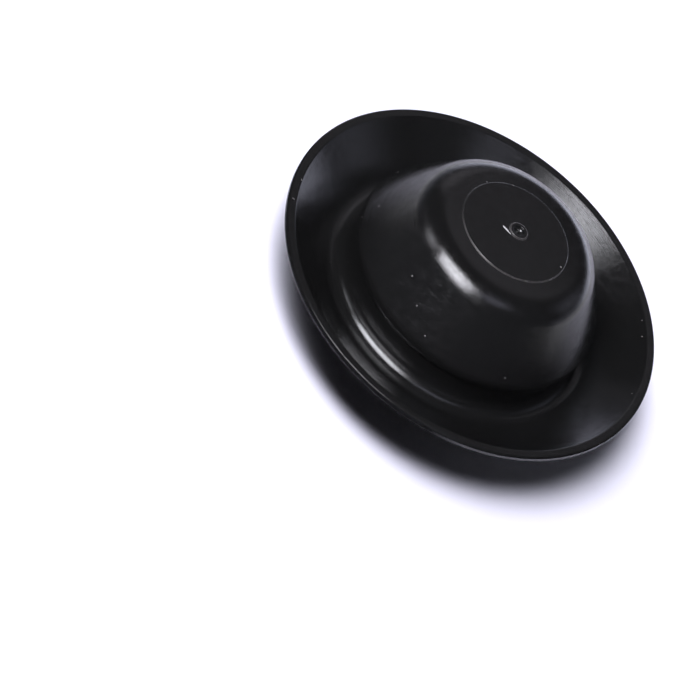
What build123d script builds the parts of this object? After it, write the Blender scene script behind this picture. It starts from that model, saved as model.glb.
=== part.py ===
# Moulded rubber plug that closes a round hole in sheet metal. The domed nose is pushed
# through the hole until its bulge snaps past the edge. The sheet's edge then sits on the
# neck, and the dished flange is pulled flat against the sheet like a spring washer.
# One moulded piece, round about Z but for its gate. Z = 0 is the plane that the mouth's
# rounded rim stands on, and +Z points out through the nose. Lengths are in millimetres,
# angles in degrees.
import os
from math import acos, atan2, cos, degrees, hypot, radians, sin, tan

from build123d import *

# Neck: the hole that the plug fits, how much wider the neck is, and its rounded root
hole_d = 19.05
neck_squeeze = 0.55
neck_wall = 0.95
root_r = 1.05
groove_h = 2.55
neck_corner_r = 0.15

# Bulge that holds the plug in the hole, seen as how far it stands out from the neck
bulge_grip = 0.4
bulge_r = 0.9
bulge_under_angle = 50.0

# Nose: a tapered wall, a soft shoulder, a nearly flat crown and a round pad on top
height = 10.1
shoulder_r = 2.85
crown_reach = 2.18
crown_angle = 4.0
pad_d = 9.0
pad_step = 0.1
pad_edge_r = 0.08

# Flange: a cone-shaped dish that opens towards the nose, with a narrow flat sealing lip
flange_d = 31.75
dish_floor_h = 0.83
lip_h = 3.7
lip_thick = 0.5
lip_land = 0.675
lip_edge_r = 0.2

# Mouth side: a cup with a round-edged rim, a flat band round it and a cone out to the lip
floor_thick = 2.75
floor_inset = 1.52
floor_corner_r = 0.6
rim_r = 0.9
rim_outer_angle = 20.0
rim_foot_r = 0.5
band_h = 0.12
band_reach = 1.25
band_edge_r = 0.35

# Marks left by the mould: the trimmed gate, a little off the pad's middle, and a ring and
# pips in the cup. The turn is the gate's direction from the axis, counted from +X.
gate_shift = 0.2
gate_turn = 50.0
gate_d = 1.5
gate_wall = 0.3
gate_h = 0.12
gate_edge_r = 0.05
gate_nub_d = 0.4
gate_nub_h = 0.07
ring_d = 2.1
ring_wall = 0.3
ring_h = 0.22
pip_d = 0.7
pip_h = 0.25
pip_circle_d = 6.6
pip_count = 8
mark_root = 0.1

neck_rad = (hole_d + neck_squeeze) / 2
lip_rad = flange_d / 2
cup_floor_h = height - floor_thick
groove_top_h = dish_floor_h + groove_h


def crossing(p, p_angle, q, q_angle):
    """Where the line through p at p_angle meets the line through q at q_angle."""
    ux, uy = cos(radians(p_angle)), sin(radians(p_angle))
    vx, vy = cos(radians(q_angle)), sin(radians(q_angle))
    along = ((q[0] - p[0]) * vy - (q[1] - p[1]) * vx) / (ux * vy - uy * vx)
    return (p[0] + along * ux, p[1] + along * uy)


def on_circle(centre, radius, angle):
    """The point of a circle that lies at this angle from its centre."""
    return (centre[0] + radius * cos(radians(angle)), centre[1] + radius * sin(radians(angle)))


def touch_angle(centre, radius, p):
    """Where, as an angle, the line from p touches a circle, going clockwise from p."""
    dx, dy = p[0] - centre[0], p[1] - centre[1]
    return degrees(atan2(dy, dx) - acos(radius / hypot(dx, dy)))


# Flange's upper side: the dish runs from the lip's crease down to the neck's rounded root
lip_under = (lip_rad, lip_h - lip_thick)
lip_top = (lip_rad, lip_h)
lip_crease = (lip_rad - lip_land, lip_h)
root_centre = (neck_rad + root_r, dish_floor_h + root_r)
dish_angle = touch_angle(root_centre, root_r, lip_crease) + 90
dish_corner = crossing(lip_crease, dish_angle, (neck_rad, 0), 90)

# Nose, from the neck's top to the pad. A point is (distance from Z, height).
neck_top = (neck_rad, groove_top_h)
pad_foot = (pad_d / 2, height - pad_step)
pad_corner = (pad_d / 2, height)
shoulder_rad = pad_d / 2 + crown_reach
shoulder_corner = (shoulder_rad, pad_foot[1] - crown_reach * tan(radians(crown_angle)))
under = radians(bulge_under_angle)
bulge_rad = neck_rad + bulge_grip - bulge_r
bulge_rise = (bulge_r + sin(under) * (bulge_rad - neck_rad)) / cos(under)
bulge_centre = (bulge_rad, groove_top_h + bulge_rise)
wall_angle = touch_angle(bulge_centre, bulge_r, shoulder_corner)
bulge_corner = crossing(neck_top, bulge_under_angle, shoulder_corner, 90 + wall_angle)

gate_centre = on_circle((0, 0), gate_shift, gate_turn)

# Inside and underneath, from the cup's floor to the lip
neck_inside = (neck_rad - neck_wall, root_centre[1])
floor_corner = (shoulder_rad - floor_inset, cup_floor_h)
cup = atan2(neck_inside[0] - floor_corner[0], floor_corner[1] - neck_inside[1])
cup_angle = degrees(cup)
rim_shift = (rim_r - sin(cup) * (rim_r - neck_inside[1])) / cos(cup)
rim_centre = (neck_inside[0] + rim_shift, rim_r)
rim_outside = on_circle(rim_centre, rim_r, rim_outer_angle - 90)
rim_corner = crossing(neck_inside, 90 + cup_angle, rim_outside, rim_outer_angle)
band_foot = crossing(rim_outside, rim_outer_angle, (0, band_h), 0)
band_edge = (rim_centre[0] + band_reach, band_h)

# Corners of the section in order, each with the radius that rounds it
corners = [
    (floor_corner, floor_corner_r),
    (rim_corner, rim_r),
    (band_foot, rim_foot_r),
    (band_edge, band_edge_r),
    (lip_under, lip_edge_r),
    (lip_top, lip_edge_r),
    (lip_crease, lip_edge_r),
    (dish_corner, root_r),
    (neck_top, neck_corner_r),
    (bulge_corner, bulge_r),
    (shoulder_corner, shoulder_r),
    (pad_foot, 0),
    (pad_corner, pad_edge_r),
]

with BuildPart() as hole_plug:
    # The whole section is one closed outline, turned once about Z
    with BuildSketch(Plane.XZ):
        with BuildLine():
            FilletPolyline(
                (0, cup_floor_h),
                *[corner for corner, rounding in corners],
                (0, height),
                radius=[rounding for corner, rounding in corners],
            )
            Line((0, height), (0, cup_floor_h))
        make_face()
    revolve(axis=Axis.Z)

    # Gate scar near the middle of the pad: a low crater with a nub in it
    with BuildSketch(Plane.XY.offset(height - mark_root)):
        with Locations(gate_centre):
            Circle(gate_d / 2)
            Circle(gate_d / 2 - gate_wall, mode=Mode.SUBTRACT)
    extrude(amount=mark_root + gate_h)
    fillet(hole_plug.edges().group_by(Axis.Z)[-1], gate_edge_r)
    with BuildSketch(Plane.XY.offset(height - mark_root)):
        with Locations(gate_centre):
            Circle(gate_nub_d / 2)
    extrude(amount=mark_root + gate_nub_h)

    # Ejector ring and plain pips on the cup's floor, which point out of the mouth. The first
    # pip lies under the gate, so that one plane mirrors the whole plug.
    with BuildSketch(Plane.XY.offset(cup_floor_h + mark_root)):
        Circle(ring_d / 2)
        Circle(ring_d / 2 - ring_wall, mode=Mode.SUBTRACT)
    extrude(amount=-mark_root - ring_h)
    with BuildSketch(Plane.XY.offset(cup_floor_h + mark_root)):
        with PolarLocations(pip_circle_d / 2, pip_count, start_angle=gate_turn):
            Circle(pip_d / 2)
    extrude(amount=-mark_root - pip_h)

hole_plug.part.label = "hole_plug"

os.makedirs("parts", exist_ok=True)
export_step(hole_plug.part, "parts/hole_plug.step")

box = hole_plug.part.bounding_box()
print(f"hole_plug: {box.size.X:.2f} x {box.size.Y:.2f} x {box.size.Z:.2f} mm,"
      f" lowest {box.min.Z:.3f}, volume {hole_plug.part.volume:.1f} mm3")
print(f"bulge centre height {bulge_centre[1]:.2f}, wall {wall_angle:.1f} degrees,"
      f" dish {dish_angle:.1f} degrees, cup {cup_angle:.1f} degrees,"
      f" rim radius {rim_centre[0]:.2f}")
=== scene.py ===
# %% [markdown]
# # A moulded rubber hole plug
# This lesson dresses one small rubber part: a plug that snaps into a round hole in sheet
# metal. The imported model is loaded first, as a fixed frame in metres. Everything that
# follows is made in that frame, so nothing has to be fitted afterwards.

# %% Load the frame
from math import acos, atan2, cos, degrees, hypot, pi, radians, sin, tan

import bmesh
import bpy
from mathutils import Matrix, Vector


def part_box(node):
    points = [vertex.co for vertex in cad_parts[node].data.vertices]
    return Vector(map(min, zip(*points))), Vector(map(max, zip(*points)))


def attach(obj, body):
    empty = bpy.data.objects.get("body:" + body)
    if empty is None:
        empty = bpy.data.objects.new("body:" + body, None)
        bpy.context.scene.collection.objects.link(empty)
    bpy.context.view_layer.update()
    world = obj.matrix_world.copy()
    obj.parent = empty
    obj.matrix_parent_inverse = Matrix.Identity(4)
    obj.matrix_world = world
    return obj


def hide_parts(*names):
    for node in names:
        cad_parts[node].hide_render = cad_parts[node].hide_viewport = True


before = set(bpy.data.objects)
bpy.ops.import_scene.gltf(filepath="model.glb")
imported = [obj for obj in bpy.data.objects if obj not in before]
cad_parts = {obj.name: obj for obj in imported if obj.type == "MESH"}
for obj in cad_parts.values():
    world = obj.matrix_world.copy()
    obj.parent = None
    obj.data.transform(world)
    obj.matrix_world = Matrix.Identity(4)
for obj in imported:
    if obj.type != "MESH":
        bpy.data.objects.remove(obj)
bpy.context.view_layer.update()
MM = 0.001
plug_low, plug_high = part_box("hole_plug")
print("The plug is", [round(side / MM, 2) for side in plug_high - plug_low], "mm")

# %% [markdown]
# ## The sizes of the section
# The real plug is round, so one half section says nearly all about its shape. Its sizes are
# named here as on a drawing. The overall ones come from the frame, and the rest are the
# plug's own: the hole and neck, the bulge, the nose, the dished flange and the cup.

# %% Name the driving sizes
hole_d = 19.05 * MM
neck_squeeze = 0.55 * MM
neck_wall = 0.95 * MM
root_r = 1.05 * MM
groove_h = 2.55 * MM
neck_corner_r = 0.15 * MM
bulge_grip = 0.4 * MM
bulge_r = 0.9 * MM
bulge_under_angle = 50.0
shoulder_r = 2.7 * MM
crown_reach = 2.38 * MM
crown_angle = 4.0
pad_d = 9.0 * MM
pad_step = 0.1 * MM
pad_edge_r = 0.095 * MM
dish_floor_h = 0.83 * MM
lip_h = 3.7 * MM
lip_thick = 0.5 * MM
lip_land = 0.675 * MM
lip_edge_r = 0.2 * MM
lip_crease_r = 0.25 * MM
lip_sag = 0.05 * MM
floor_thick = 2.75 * MM
floor_inset = 1.52 * MM
floor_corner_r = 0.6 * MM
rim_r = 0.9 * MM
rim_outer_angle = 20.0
rim_foot_r = 0.5 * MM
band_h = 0.12 * MM
band_reach = 1.25 * MM
band_edge_r = 0.35 * MM

# The trimmed gate, a little off the pad's middle, the pit on the plug's axis, and the
# ejector ring in the cup
gate_shift = 0.2 * MM
gate_turn = 50.0
gate_rad = 0.75 * MM
gate_wall = 0.3 * MM
gate_h = 0.12 * MM
gate_edge_r = 0.05 * MM
pit_rad = 0.26 * MM
pit_deep = 0.2 * MM
pit_edge_r = 0.03 * MM
ring_rad = 1.05 * MM
ring_wall = 0.3 * MM
ring_h = 0.22 * MM
ring_edge_r = 0.06 * MM

lip_rad = plug_high.x
pad_h = plug_high.z - gate_h
neck_rad = (hole_d + neck_squeeze) / 2
cup_floor_h = pad_h - floor_thick
print(f"Neck {2 * neck_rad / MM:.2f} mm, lip {2 * lip_rad / MM:.2f} mm, pad at {pad_h / MM:.2f} mm")

# %% [markdown]
# ## The corners of the section
# The mould was turned on a lathe, so its outline is straight runs joined by round corners.
# Two small helpers find the corners that follow from others: where two straight runs cross,
# and at what angle a run touches a round form.


# %% Find the corners that follow from others
def crossing(p, p_angle, q, q_angle):
    """Where the line through p at p_angle meets the line through q at q_angle."""
    ux, uy = cos(radians(p_angle)), sin(radians(p_angle))
    vx, vy = cos(radians(q_angle)), sin(radians(q_angle))
    along = ((q[0] - p[0]) * vy - (q[1] - p[1]) * vx) / (ux * vy - uy * vx)
    return (p[0] + along * ux, p[1] + along * uy)


def touch_angle(centre, radius, p):
    """Where, as an angle, the line from p touches a circle, going clockwise from p."""
    dx, dy = p[0] - centre[0], p[1] - centre[1]
    return degrees(atan2(dy, dx) - acos(radius / hypot(dx, dy)))


lip_crease = (lip_rad - lip_land, lip_h)
root_centre = (neck_rad + root_r, dish_floor_h + root_r)
dish_angle = touch_angle(root_centre, root_r, lip_crease) + 90
dish_corner = crossing(lip_crease, dish_angle, (neck_rad, 0), 90)

neck_top = (neck_rad, dish_floor_h + groove_h)
pad_foot = (pad_d / 2, pad_h - pad_step)
shoulder_rad = pad_d / 2 + crown_reach
shoulder_corner = (shoulder_rad, pad_foot[1] - crown_reach * tan(radians(crown_angle)))
under = radians(bulge_under_angle)
bulge_rad = neck_rad + bulge_grip - bulge_r
bulge_rise = (bulge_r + sin(under) * (bulge_rad - neck_rad)) / cos(under)
bulge_centre = (bulge_rad, neck_top[1] + bulge_rise)
wall_angle = touch_angle(bulge_centre, bulge_r, shoulder_corner)
bulge_corner = crossing(neck_top, bulge_under_angle, shoulder_corner, 90 + wall_angle)

neck_inside = (neck_rad - neck_wall, root_centre[1])
floor_corner = (shoulder_rad - floor_inset, cup_floor_h)
cup = atan2(neck_inside[0] - floor_corner[0], floor_corner[1] - neck_inside[1])
rim_shift = (rim_r - sin(cup) * (rim_r - neck_inside[1])) / cos(cup)
rim_centre = (neck_inside[0] + rim_shift, rim_r)
outside = radians(rim_outer_angle - 90)
rim_outside = (rim_centre[0] + rim_r * cos(outside), rim_centre[1] + rim_r * sin(outside))
rim_corner = crossing(neck_inside, 90 + degrees(cup), rim_outside, rim_outer_angle)
band_foot = crossing(rim_outside, rim_outer_angle, (0, band_h), 0)
print(f"Wall {wall_angle:.1f} degrees, dish {dish_angle:.1f} degrees")

# %% List the outline, each corner with the radius that rounds it
ring_low = cup_floor_h - ring_h
outline = [
    ((0, cup_floor_h), 0),
    ((ring_rad - ring_wall, cup_floor_h), ring_edge_r),
    ((ring_rad - ring_wall, ring_low), ring_edge_r),
    ((ring_rad, ring_low), ring_edge_r),
    ((ring_rad, cup_floor_h), ring_edge_r),
    (floor_corner, floor_corner_r),
    (rim_corner, rim_r),
    (band_foot, rim_foot_r),
    ((rim_centre[0] + band_reach, band_h), band_edge_r),
    ((lip_rad, lip_h - lip_thick), lip_edge_r),
    ((lip_rad, lip_h), lip_edge_r),
    ((lip_crease[0], lip_h - lip_sag), lip_crease_r),
    (dish_corner, root_r),
    (neck_top, neck_corner_r),
    (bulge_corner, bulge_r),
    (shoulder_corner, shoulder_r),
    (pad_foot, 0),
    ((pad_d / 2, pad_h), pad_edge_r),
    ((pit_rad, pad_h), pit_edge_r),
    ((pit_rad, pad_h - pit_deep), pit_edge_r),
    ((0, pad_h - pit_deep), 0),
]
print(len(outline), "corners in the outline")

# %% [markdown]
# ## Drawing and turning the section
# A vertex bevel rounds a wire only roughly, so each round corner is drawn as a true arc: a
# single vertex is spun about the arc's centre, and it leaves edges behind. Straight runs are
# extruded from the same vertex. Each has a short step near both ends, so that the shading
# bends only where the rubber does. The finished chain is spun once about Z.

# %% Draw straight runs and round corners with one moving vertex
arc_step = radians(5)
end_step = 0.03 * MM
long_step = 0.6 * MM
around = 256


def run_to(bm, pen, point):
    """Extrudes the pen to a point in straight steps, and returns the pen's new vertex."""
    start, way = pen.co.copy(), Vector((point[0], 0, point[1])) - pen.co
    stops = [way.length]
    if way.length > 4 * end_step:
        middle = way.length - 2 * end_step
        count = max(1, round(middle / long_step))
        stops = [end_step + middle * i / count for i in range(count + 1)] + stops
    for stop in stops:
        pen = bmesh.ops.extrude_vert_indiv(bm, verts=[pen])["verts"][0]
        pen.co = start + way * (stop / way.length)
    return pen


def turn_about(bm, pen, centre, angle):
    """Spins the pen about a centre in the section's plane, and returns its new vertex."""
    steps = max(2, round(abs(angle) / arc_step))
    made = bmesh.ops.spin(bm, geom=[pen], cent=(centre.x, 0, centre.y), axis=(0, -1, 0),
                          dvec=(0, 0, 0), angle=angle, steps=steps, use_duplicate=False)
    return [item for item in made["geom_last"] if isinstance(item, bmesh.types.BMVert)][0]


def draw(bm, corners):
    """Draws the whole outline as one chain of edges in the XZ plane."""
    points = [Vector(point) for point, radius in corners]
    pen = bm.verts.new((points[0].x, 0, points[0].y))
    for before, here, after, radius in zip(points, points[1:], points[2:],
                                           [radius for point, radius in corners[1:]]):
        way_in, way_out = (here - before).normalized(), (after - here).normalized()
        turn = atan2(way_in.x * way_out.y - way_in.y * way_out.x, way_in.dot(way_out))
        side = 1 if turn > 0 else -1
        start = here - way_in * radius * tan(abs(turn) / 2)
        centre = start + Vector((-way_in.y, way_in.x)) * radius * side
        pen = run_to(bm, pen, start)
        if radius:
            pen = turn_about(bm, pen, centre, turn)
    run_to(bm, pen, points[-1])


# %% Note how far along the outline each vertex lies, in millimetres
def measure(bm, first):
    """Stores the distance from the chain's first vertex, for patterns that follow it."""
    along = bm.verts.layers.float["along"]
    travelled, here, came_by = 0.0, first, None
    while True:
        here[along] = travelled / MM
        onward = [edge for edge in here.link_edges if edge is not came_by]
        if not onward:
            return travelled
        came_by = onward[0]
        travelled += came_by.calc_length()
        here = came_by.other_vert(here)


# %% Spin the outline into the plug's body
def finished(name, bm, material):
    """Turns a bmesh into an object that rides on the plug's one body."""
    mesh = bpy.data.meshes.new(name)
    bm.to_mesh(mesh)
    bm.free()
    mesh.shade_smooth()
    mesh.materials.append(material)
    piece = bpy.data.objects.new(name, mesh)
    bpy.context.scene.collection.objects.link(piece)
    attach(piece, "root")
    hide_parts("hole_plug")
    print(name, "has", sum(len(face.vertices) - 2 for face in mesh.polygons), "triangles")
    return piece


def turned(corners, steps):
    """Draws an outline and turns it once about Z."""
    bm = bmesh.new()
    bm.verts.layers.float.new("along")
    draw(bm, corners)
    bm.verts.ensure_lookup_table()
    length = measure(bm, bm.verts[0])
    print(f"The outline is {length / MM:.1f} mm long in {len(bm.edges)} steps")
    bmesh.ops.spin(bm, geom=bm.verts[:] + bm.edges[:], cent=(0, 0, 0), axis=(0, 0, 1),
                   dvec=(0, 0, 0), angle=2 * pi, steps=steps, use_merge=True,
                   use_duplicate=False)
    bmesh.ops.remove_doubles(bm, verts=bm.verts[:], dist=0.0005 * MM)
    bmesh.ops.recalc_face_normals(bm, faces=bm.faces[:])
    return bm


# %% [markdown]
# ## Shader sums
# A material is easier to read as a sum than as a web of nodes. This small class holds one
# socket, and plus, minus and times on it add the Math nodes that do the sum.


# %% Let shader sockets take part in sums
class Wire:
    """An output socket that can be used in sums."""

    def __init__(self, tree, socket=None):
        self.tree, self.socket = tree, socket

    def node(self, kind, settings, inputs, output=0):
        """Adds any node: its settings first, then the values or links of its sockets."""
        made = self.tree.nodes.new(kind)
        for name, value in settings.items():
            setattr(made, name, value)
        for name, value in inputs.items():
            if isinstance(value, Wire):
                self.tree.links.new(value.socket, made.inputs[name])
            else:
                made.inputs[name].default_value = value
        return Wire(self.tree, made.outputs[output])

    def sum_with(self, operation, first, second):
        """Adds one Math node, which works on two wires or on a wire and a number."""
        return self.node("ShaderNodeMath", {"operation": operation}, {0: first, 1: second})

    def __add__(self, other):
        return self.sum_with("ADD", self, other)

    def __radd__(self, other):
        return self.sum_with("ADD", other, self)

    def __sub__(self, other):
        return self.sum_with("SUBTRACT", self, other)

    def __rsub__(self, other):
        return self.sum_with("SUBTRACT", other, self)

    def __mul__(self, other):
        return self.sum_with("MULTIPLY", self, other)

    def __rmul__(self, other):
        return self.sum_with("MULTIPLY", other, self)

    def step(self, low, high):
        """Goes smoothly from 0 at low to 1 at high."""
        return self.node("ShaderNodeMapRange", {"interpolation_type": "SMOOTHSTEP"},
                         {"Value": self, "From Min": low, "From Max": high})


# %% [markdown]
# ## Black rubber
# The plug is moulded in carbon-black rubber with a satin skin. The mould's lathe marks show
# as very fine rings, so a noise is read along the outline and hardly at all round it.

# %% [markdown]
# ## Dust and scratches
# The plug carries a few pale specks and two fine scratches. A noise would scatter them
# anywhere, so each is listed on its own: where it starts, where it ends, and its width.
# Most specks start and end at one point.

# %% List the dust and scratches, in millimetres
dust = [
    ((-9.71, 2.10, 4.87), (-9.71, 2.10, 4.87), 0.07),
    ((-8.97, -3.00, 5.65), (-8.97, -3.00, 5.65), 0.06),
    ((-9.39, -3.86, 4.47), (-9.39, -3.86, 4.47), 0.06),
    ((-14.66, -4.23, 3.70), (-14.60, -4.30, 3.70), 0.08),
    ((-14.15, -6.43, 3.70), (-14.05, -6.40, 3.70), 0.07),
    ((-7.80, -13.79, 3.18), (-7.80, -13.79, 3.18), 0.07),
    ((-3.62, -7.82, 7.01), (-3.62, -7.82, 7.01), 0.06),
    ((-1.89, -8.97, 6.12), (-1.89, -8.97, 6.12), 0.06),
    ((0.01, -9.77, 5.13), (0.01, -9.77, 5.13), 0.06),
    ((-0.55, -6.31, 9.65), (-0.55, -6.31, 9.65), 0.07),
    ((6.51, -7.39, 5.01), (6.51, -7.39, 5.01), 0.07),
    ((11.81, 9.20, 3.54), (11.81, 9.20, 3.54), 0.08),
    ((12.58, 7.89, 3.46), (12.58, 7.89, 3.46), 0.08),
    ((14.69, 2.22, 3.47), (14.69, 2.22, 3.47), 0.07),
    ((-4.09, 2.12, 10.0), (-4.09, 2.12, 10.0), 0.05),
    ((-2.48, 3.69, 10.09), (-2.48, 3.69, 10.09), 0.06),
    ((4.25, 0.28, 10.10), (4.25, 0.28, 10.10), 0.08),
    ((-9.01, -6.01, 0.83), (-7.98, -5.70, 1.77), 0.03),
    ((-9.43, -6.99, 1.23), (-8.46, -7.25, 0.88), 0.03),
]
print(len(dust), "specks and scratches")


# %% Make the rubber
ring_pace = 7.0
painted_rim_rad = 0.74
near_way = (0.42, -0.91, 0)
clean_black = (0.007, 0.007, 0.007, 1)
# Pale grey for dust and scratches, and for the painted highlights on the crater's rim and the pad's
# step.
dust_and_highlight_grey = (0.15, 0.14, 0.14, 1)


def black_rubber():
    """Satin black with fine rings, soft patches, dust, scratches and two painted highlights."""
    material = bpy.data.materials.new("black_rubber")
    material.use_nodes = True
    tree = material.node_tree
    shader = tree.nodes["Principled BSDF"]
    wire = Wire(tree)
    place = wire.node("ShaderNodeTexCoord", {}, {}, "Object")
    millimetres = wire.node("ShaderNodeVectorMath", {"operation": "SCALE"},
                            {0: place, "Scale": 1 / MM})
    along = wire.node("ShaderNodeAttribute", {"attribute_name": "along"}, {}, "Fac")
    spoke = wire.node("ShaderNodeVectorMath", {"operation": "NORMALIZE"},
                      {0: wire.node("ShaderNodeVectorMath", {"operation": "MULTIPLY"},
                                    {0: place, 1: (1, 1, 0)})})
    rings = wire.node("ShaderNodeTexNoise", {"noise_dimensions": "4D"},
                      {"Vector": spoke, "W": along * ring_pace, "Scale": 3.0, "Detail": 3.0})
    patches = wire.node("ShaderNodeTexNoise", {"noise_dimensions": "3D"},
                        {"Vector": millimetres, "Scale": 1.8, "Detail": 5.0, "Roughness": 0.6})
    grain = wire.node("ShaderNodeTexNoise", {"noise_dimensions": "3D"},
                      {"Vector": millimetres, "Scale": 8.0, "Detail": 3.0})

    # The marks add up real dust and scratches and the painted highlights below.
    marks = 0.0
    for start, end, width in dust:
        reach = Vector(end) - Vector(start)
        offset = wire.node("ShaderNodeVectorMath", {"operation": "SUBTRACT"},
                           {0: millimetres, 1: start})
        share = wire.node("ShaderNodeVectorMath", {"operation": "DOT_PRODUCT"},
                          {0: offset, 1: reach / max(reach.length_squared, 1e-6)}, "Value")
        share = wire.node("ShaderNodeClamp", {}, {"Value": share})
        foot = wire.node("ShaderNodeVectorMath", {"operation": "SCALE"},
                         {0: tuple(reach), "Scale": share})
        away = wire.node("ShaderNodeVectorMath", {"operation": "DISTANCE"},
                         {0: offset, 1: foot}, "Value")
        marks = marks + (away + grain * width * 0.8).step(width * 1.5, width * 0.8)

    # The pale ring on the crater's rim is a painted highlight, which also roughens and lifts the
    # rim a little.
    turn = radians(gate_turn)
    gate_top = [gate_shift / MM * cos(turn), gate_shift / MM * sin(turn), pad_h / MM + 0.1]
    from_gate = wire.node("ShaderNodeVectorMath", {"operation": "DISTANCE"},
                          {0: millimetres, 1: gate_top}, "Value")
    painted_rim = wire.node("ShaderNodeMath", {"operation": "ABSOLUTE"}, {0: from_gate - painted_rim_rad})
    marks = marks + (painted_rim + grain * 0.08).step(0.15, 0.06) * 0.4

    # A painted highlight along the pad's step: a pale line, brightest on the near side and faint
    # elsewhere.
    from_axis = wire.node("ShaderNodeVectorMath", {"operation": "DISTANCE"},
                          {0: millimetres, 1: (0, 0, pad_h / MM)}, "Value")
    step_line = wire.node("ShaderNodeMath", {"operation": "ABSOLUTE"},
                          {0: from_axis - pad_d / MM / 2})
    highlight_side = wire.node("ShaderNodeVectorMath", {"operation": "DOT_PRODUCT"},
                          {0: spoke, 1: near_way}, "Value")
    marks = marks + ((step_line + grain * 0.05).step(0.1, 0.05)
                     * (highlight_side.step(-0.2, 0.7) * 0.26 + 0.04))

    rough = 0.1 + patches.step(0.35, 0.65) * 0.1 + marks * 0.3
    gloss = rings.step(0.36, 0.64) * 0.15 + patches.step(0.4, 0.6) * 0.2
    height = rings * 0.009 + patches * 0.011 + grain * 0.004 + marks * 0.01
    bump = wire.node("ShaderNodeBump", {}, {"Strength": 1.0, "Distance": MM, "Height": height})
    tone = wire.node("ShaderNodeMix", {"data_type": "RGBA"},
                     {"Factor": marks, 6: clean_black, 7: dust_and_highlight_grey}, 2)
    tree.links.new(tone.socket, shader.inputs["Base Color"])
    tree.links.new(rough.socket, shader.inputs["Roughness"])
    tree.links.new(gloss.socket, shader.inputs["Coat Weight"])
    tree.links.new(bump.socket, shader.inputs["Normal"])
    shader.inputs["Coat Roughness"].default_value = 0.1
    print("The rubber has", len(tree.nodes), "nodes")
    return material


rubber = black_rubber()
body = finished("plug_body", turned(outline, around), rubber)

# %% [markdown]
# ## The gate scar
# The rubber was shot into the mould through a small gate near the middle of the pad.
# Tearing it off left a low crater, a stub in it, and a burr on its near left side. The
# crater is turned like the body, and the other two are flattened spheres.

# %% Make the gate scar
gate_high = pad_h + gate_h
sunk = 0.1 * MM
crater_rad = gate_rad - gate_wall
crater = [
    ((crater_rad, pad_h - sunk), 0),
    ((crater_rad, gate_high), gate_edge_r),
    ((gate_rad, gate_high), gate_edge_r),
    ((gate_rad, pad_h - sunk), 0),
    ((crater_rad, pad_h - sunk), 0),
]
stub_place = Vector((0.1, 0.2, 0.0)) * MM
stub_radii = Vector((0.17, 0.17, 0.05)) * MM
burr_place = Vector((-0.68, -0.74, 0.0)) * MM
burr_radii = Vector((0.52, 0.14, 0.035)) * MM
scar_turn = radians(-12)
scar_lean = radians(41)


def bead(bm, place, radii, pitch):
    """Adds a flattened bead to the pad, which leans towards the near side."""
    lean = Matrix.Rotation(scar_turn, 4, "Z") @ Matrix.Rotation(scar_lean, 4, "X")
    bmesh.ops.create_uvsphere(bm, u_segments=48, v_segments=24, radius=1,
                              matrix=Matrix.Translation(place + Vector((0, 0, pad_h)))
                              @ lean @ Matrix.Rotation(pitch, 4, "Y")
                              @ Matrix.Diagonal((*radii, 1)))


def gate_scar(material):
    """Makes the crater with a stub in it and a burr beside it."""
    bm = turned(crater, 64)
    bead(bm, stub_place, stub_radii, 0)
    bead(bm, burr_place, burr_radii, radians(4))
    turn = radians(gate_turn)
    bmesh.ops.translate(bm, verts=bm.verts[:],
                        vec=(gate_shift * cos(turn), gate_shift * sin(turn), 0))
    return finished("gate_scar", bm, material)


gate = gate_scar(rubber)

# %% [markdown]
# ## Eight plain pips in the cup
# The mould leaves small round pips on the cup's floor. Eight short cones of one width
# make them in a loop, and a bevel rounds the edge that shows.

# %% Make the pips
pip_rad = 0.35 * MM
pip_h = 0.25 * MM
pip_circle_rad = 3.3 * MM
pip_count = 8
mark_root = 0.1 * MM
pip_edge = 0.08 * MM


def cup_pips(material):
    """Makes the pips, which are sunk a little into the floor that carries them."""
    bm = bmesh.new()
    for i in range(pip_count):
        angle = radians(gate_turn) + 2 * pi * i / pip_count
        centre = Vector((pip_circle_rad * cos(angle), pip_circle_rad * sin(angle),
                         cup_floor_h + mark_root - (pip_h + mark_root) / 2))
        bmesh.ops.create_cone(bm, cap_ends=True, segments=32, radius1=pip_rad, radius2=pip_rad,
                              depth=pip_h + mark_root, matrix=Matrix.Translation(centre))
    low = cup_floor_h - pip_h + 0.01 * MM
    rim = [edge for edge in bm.edges if all(vert.co.z < low for vert in edge.verts)]
    bmesh.ops.bevel(bm, geom=rim, offset=pip_edge, segments=5, profile=0.5, affect="EDGES",
                    material=-1)
    return finished("cup_pips", bm, material)


pips = cup_pips(rubber)

# %% [markdown]
# ## The table and its light
# A large pale floor carries the plug. Near the plug it is a real surface that takes the
# shadow, and further out it turns to plain white. One helper makes every object of the set.

# %% Lay the floor
floor_size = 3.0
clear_near, clear_far = 0.05, 0.12


def stand(name, bm, material):
    """Turns a bmesh into an object of the set, which isn't part of the plug."""
    mesh = bpy.data.meshes.new(name)
    bm.to_mesh(mesh)
    bm.free()
    mesh.materials.append(material)
    prop = bpy.data.objects.new(name, mesh)
    bpy.context.scene.collection.objects.link(prop)
    print(name, "is in the set")
    return prop


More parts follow.
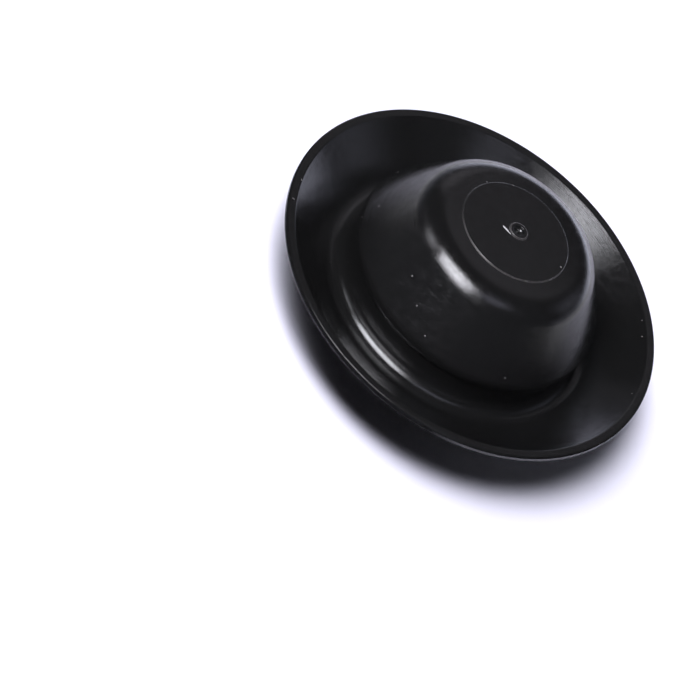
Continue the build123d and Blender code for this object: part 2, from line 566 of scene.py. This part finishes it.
def pale_floor():
    """Pale near the plug, and plain white far out for the camera and reflections."""
    material = bpy.data.materials.new("pale_floor")
    material.use_nodes = True
    tree = material.node_tree
    wire = Wire(tree)
    place = wire.node("ShaderNodeTexCoord", {}, {}, "Object")
    away = wire.node("ShaderNodeVectorMath", {"operation": "LENGTH"}, {0: place}, "Value")
    path = tree.nodes.new("ShaderNodeLightPath")
    seen = Wire(tree, path.outputs["Is Camera Ray"]) + Wire(tree, path.outputs["Is Glossy Ray"])
    seen = seen + Wire(tree, path.outputs["Is Transmission Ray"])
    shader = tree.nodes["Principled BSDF"]
    shader.inputs["Base Color"].default_value = (0.8, 0.8, 0.8, 1)
    shader.inputs["Roughness"].default_value = 0.9
    shader.inputs["Specular IOR Level"].default_value = 0.0
    near = Wire(tree, shader.outputs[0])
    white = wire.node("ShaderNodeEmission", {}, {"Color": (1, 1, 1, 1), "Strength": 1.0})
    far = away.step(clear_near, clear_far)
    shown = wire.node("ShaderNodeMixShader", {}, {0: far, 1: near, 2: white})
    plain = wire.node("ShaderNodeMixShader", {}, {0: seen, 1: near, 2: shown})
    tree.links.new(plain.socket, tree.nodes["Material Output"].inputs["Surface"])
    return material


bm = bmesh.new()
bmesh.ops.create_circle(bm, cap_ends=True, segments=64, radius=floor_size,
                        matrix=Matrix.Translation((0, 0, plug_low.z)))
floor = stand("floor", bm, pale_floor())

# %% [markdown]
# ## The softboxes
# A lamp that is mirrored in glossy rubber shows its own shape, so each is a glowing rectangle
# with soft edges. The key, high on the near left, gives the bright bands on the shoulder and
# the neck's root. The plug's softboxes light the plug alone, and the table lamp the floor
# alone, so that the highlights and the shadow can be set one at a time.


# %% Hang the softboxes
def softbox(name, azimuth, polar, distance, width, height, radiance, colour, soft=(0, 0)):
    """A rectangle that glows towards the plug. Angles are in degrees, the rest in metres."""
    material = bpy.data.materials.new(name)
    material.use_nodes = True
    tree = material.node_tree
    tree.nodes.remove(tree.nodes["Principled BSDF"])
    wire = Wire(tree)
    strength = radiance
    if max(soft) > 0:
        over = wire.node("ShaderNodeUVMap", {}, {})
        split = tree.nodes.new("ShaderNodeSeparateXYZ")
        tree.links.new(over.socket, split.inputs[0])
        for side, edge in zip(("X", "Y"), soft):
            across = Wire(tree, split.outputs[side])
            strength = across.step(0, edge) * (1 - across.step(1 - edge, 1)) * strength
    glow = wire.node("ShaderNodeEmission", {}, {"Color": (*colour, 1), "Strength": strength})
    tree.links.new(glow.socket, tree.nodes["Material Output"].inputs["Surface"])
    bm = bmesh.new()
    bm.loops.layers.uv.new("UVMap")
    bmesh.ops.create_grid(bm, x_segments=1, y_segments=1, size=0.5, calc_uvs=True,
                          matrix=Matrix.Diagonal((width, height, 1, 1)))
    a, p = radians(azimuth), radians(polar)
    towards = Vector((cos(a) * sin(p), sin(a) * sin(p), cos(p)))
    turn = towards.to_track_quat("Z", "Y").to_matrix()
    bmesh.ops.rotate(bm, verts=bm.verts[:], cent=(0, 0, 0), matrix=turn)
    bmesh.ops.translate(bm, verts=bm.verts[:], vec=towards * distance)
    box = stand(name, bm, material)
    box.visible_camera = False
    return box


daylight = (0.93, 0.93, 1.0)
cool = (0.8, 0.82, 1.0)
neutral = (0.94, 0.91, 1.0)
lavender = (0.84, 0.83, 1.0)
plug_lamps = [
    softbox("key_core", -117, 37, 0.6, 0.64, 0.38, 16.0, daylight, soft=(0.35, 0.12)),
    softbox("key_skirt", -124, 40, 0.62, 1.45, 0.44, 1.9, daylight, soft=(0.35, 0.35)),
    softbox("left_wing", -161, 54, 0.6, 0.36, 0.36, 3.4, daylight, soft=(0.5, 0.5)),
    softbox("left_glow", 172, 52, 0.6, 0.44, 0.36, 1.1, neutral, soft=(0.5, 0.5)),
    softbox("right_tail", -46, 33, 0.6, 0.44, 0.26, 1.8, cool, soft=(0.5, 0.5)),
    softbox("right_card", 40, 62, 0.6, 0.5, 0.5, 0.4, cool, soft=(0.5, 0.5)),
    softbox("left_card", 116, 58, 0.6, 0.66, 0.4, 0.5, neutral, soft=(0.5, 0.5)),
    softbox("far_ceiling", 92, 36, 0.6, 0.7, 0.46, 0.33, neutral, soft=(0.5, 0.5)),
]
table_lamp = softbox("table_lamp", 159, 28, 0.5, 0.42, 0.84, 21.5, lavender, soft=(0.5, 0.5))


def light_only(lamp, *pieces):
    """Lets a lamp light these pieces alone."""
    lit = bpy.data.collections.new(lamp.name + "_lights")
    for piece in pieces:
        lit.objects.link(piece)
    lamp.light_linking.receiver_collection = lit


light_only(table_lamp, floor)
for lamp in plug_lamps:
    light_only(lamp, body, gate, pips)
print(len(plug_lamps), "lamps for the plug, 1 for the floor")

# %% [markdown]
# ## The white sweep
# The dish's far side mirrors what stands low behind the plug. A curved wall, brightest
# straight behind and faded towards its top, gives it a soft edge that a box would not.

# %% Raise the white sweep behind
sweep_far = 0.6
sweep_from = radians(10)
sweep_angle = radians(160)
sweep_high = sweep_far * tan(radians(26))


def back_sweep():
    """Makes the curved wall, which glows but isn't seen by the camera."""
    material = bpy.data.materials.new("back_sweep")
    material.use_nodes = True
    tree = material.node_tree
    tree.nodes.remove(tree.nodes["Principled BSDF"])
    wire = Wire(tree)
    place = wire.node("ShaderNodeTexCoord", {}, {}, "Object")
    split = tree.nodes.new("ShaderNodeSeparateXYZ")
    tree.links.new(place.socket, split.inputs[0])
    behind = Wire(tree, split.outputs["Y"]) + Wire(tree, split.outputs["X"]) * 0.1
    ahead = behind * (1 / sweep_far)
    fade = (Wire(tree, split.outputs["Z"]) * (1 / sweep_high)).step(1.0, 0.0)
    strength = (ahead.step(0.7, 1.0) * 2.8 + ahead.step(0.1, 0.7) * 0.4 + 0.3) * fade * fade
    glow = wire.node("ShaderNodeEmission", {}, {"Color": (*cool, 1), "Strength": strength})
    tree.links.new(glow.socket, tree.nodes["Material Output"].inputs["Surface"])
    bm = bmesh.new()
    low = bm.verts.new((sweep_far, 0, 0))
    high = bm.verts.new((sweep_far, 0, sweep_high))
    edge = bm.edges.new((low, high))
    bmesh.ops.rotate(bm, verts=[low, high], cent=(0, 0, 0),
                     matrix=Matrix.Rotation(sweep_from, 3, "Z"))
    bmesh.ops.spin(bm, geom=[low, high, edge], cent=(0, 0, 0), axis=(0, 0, 1), dvec=(0, 0, 0),
                   angle=sweep_angle, steps=32, use_duplicate=False)
    stand("back_sweep", bm, material).visible_camera = False


back_sweep()

# %% [markdown]
# ## Black flags
# A glossy black thing goes grey where it mirrors a pale floor. A photographer stands black
# flags beside it. Here they are two bands round the plug that show in reflections alone
# and cast no shadow. Both thin out away from one side, and the upper one towards its top.

# %% Stand black flags on the near side
flag_rad = 17.5 * MM
fade_from, fade_to = 4.5, 8.5


def black_flag(name, low_z, high_z, azimuth, thin, full, least):
    """A band of black gauze round the plug, seen in reflections alone. It covers most at
    its azimuth, and thins out to its least cover away from there and to its top."""
    material = bpy.data.materials.new(name)
    material.use_nodes = True
    tree = material.node_tree
    shader = tree.nodes["Principled BSDF"]
    shader.inputs["Base Color"].default_value = (0.0, 0.0, 0.0, 1)
    shader.inputs["Specular IOR Level"].default_value = 0.0
    wire = Wire(tree)
    place = wire.node("ShaderNodeTexCoord", {}, {}, "Object")
    facing = (cos(radians(azimuth)) / flag_rad, sin(radians(azimuth)) / flag_rad, 0)
    nearness = wire.node("ShaderNodeVectorMath", {"operation": "DOT_PRODUCT"},
                         {0: place, 1: facing}, "Value")
    split = tree.nodes.new("ShaderNodeSeparateXYZ")
    tree.links.new(place.socket, split.inputs[0])
    up = Wire(tree, split.outputs["Z"])
    cover = nearness.step(thin, full) * (1 - least) + least
    cover = cover * (1 - (up * (1 / MM)).step(fade_from, fade_to))
    tree.links.new(cover.socket, shader.inputs["Alpha"])
    bm = bmesh.new()
    low = bm.verts.new((flag_rad, 0, low_z))
    high = bm.verts.new((flag_rad, 0, high_z))
    edge = bm.edges.new((low, high))
    bmesh.ops.spin(bm, geom=[low, high, edge], cent=(0, 0, 0), axis=(0, 0, 1), dvec=(0, 0, 0),
                   angle=2 * pi, steps=64, use_merge=True, use_duplicate=False)
    flag = stand(name, bm, material)
    flag.visible_camera = False
    flag.visible_shadow = False
    flag.visible_diffuse = False


black_flag("near_flag", 2.6 * MM, 8.5 * MM, -90, -0.5, 0.2, 0.5)
black_flag("low_flag", 0, 2.6 * MM, -142, 0.1, 0.35, 0)

# %% [markdown]
# ## The room
# The world is left nearly dark, because the softboxes and the sweep do the lighting.

# %% Dim the room
room_strength = 0.04
world = bpy.data.worlds.new("dim_room")
bpy.context.scene.world = world
world.use_nodes = True
sky = world.node_tree.nodes["Background"]
sky.inputs["Color"].default_value = (0.8, 0.8, 1.0, 1)
sky.inputs["Strength"].default_value = room_strength
bpy.context.scene.view_settings.view_transform = "Standard"
print("The room's strength is", room_strength)

# %% [markdown]
# ## The camera
# The camera looks down on the plug from the near side, and it is rolled, so that the plug's
# near side points to the lower left. It is aimed by turning it until the lip's centre
# falls on its place in the picture.

# %% Place and aim the camera
picture_px = 700
view_distance = 0.3
view_tilt = radians(47.342)
view_roll = radians(41.150)
focal_px = 3965.5
lip_centre_px = (473.4, 280.5)
target = Vector((0, 0, 3.5 * MM))

back = Vector((0, -sin(view_tilt), cos(view_tilt)))
across, up = Vector((1, 0, 0)), Vector((0, cos(view_tilt), sin(view_tilt)))
picture_x = across * cos(view_roll) + up * sin(view_roll)
picture_y = up * cos(view_roll) - across * sin(view_roll)
level = Matrix((picture_x, picture_y, back)).transposed()
half = picture_px / 2
ray = Vector(((lip_centre_px[0] - half) / focal_px, (half - lip_centre_px[1]) / focal_px, -1))
aim = ray.rotation_difference(Vector((0, 0, -1))).to_matrix()

camera = bpy.data.objects.new("camera", bpy.data.cameras.new("camera"))
bpy.context.scene.collection.objects.link(camera)
camera.data.sensor_width = 36
camera.data.lens = focal_px / picture_px * camera.data.sensor_width
camera.data.clip_start = 0.01
camera.matrix_world = Matrix.Translation(target + back * view_distance) @ (level @ aim).to_4x4()
bpy.context.scene.camera = camera
print("Lens", round(camera.data.lens, 1), "mm")
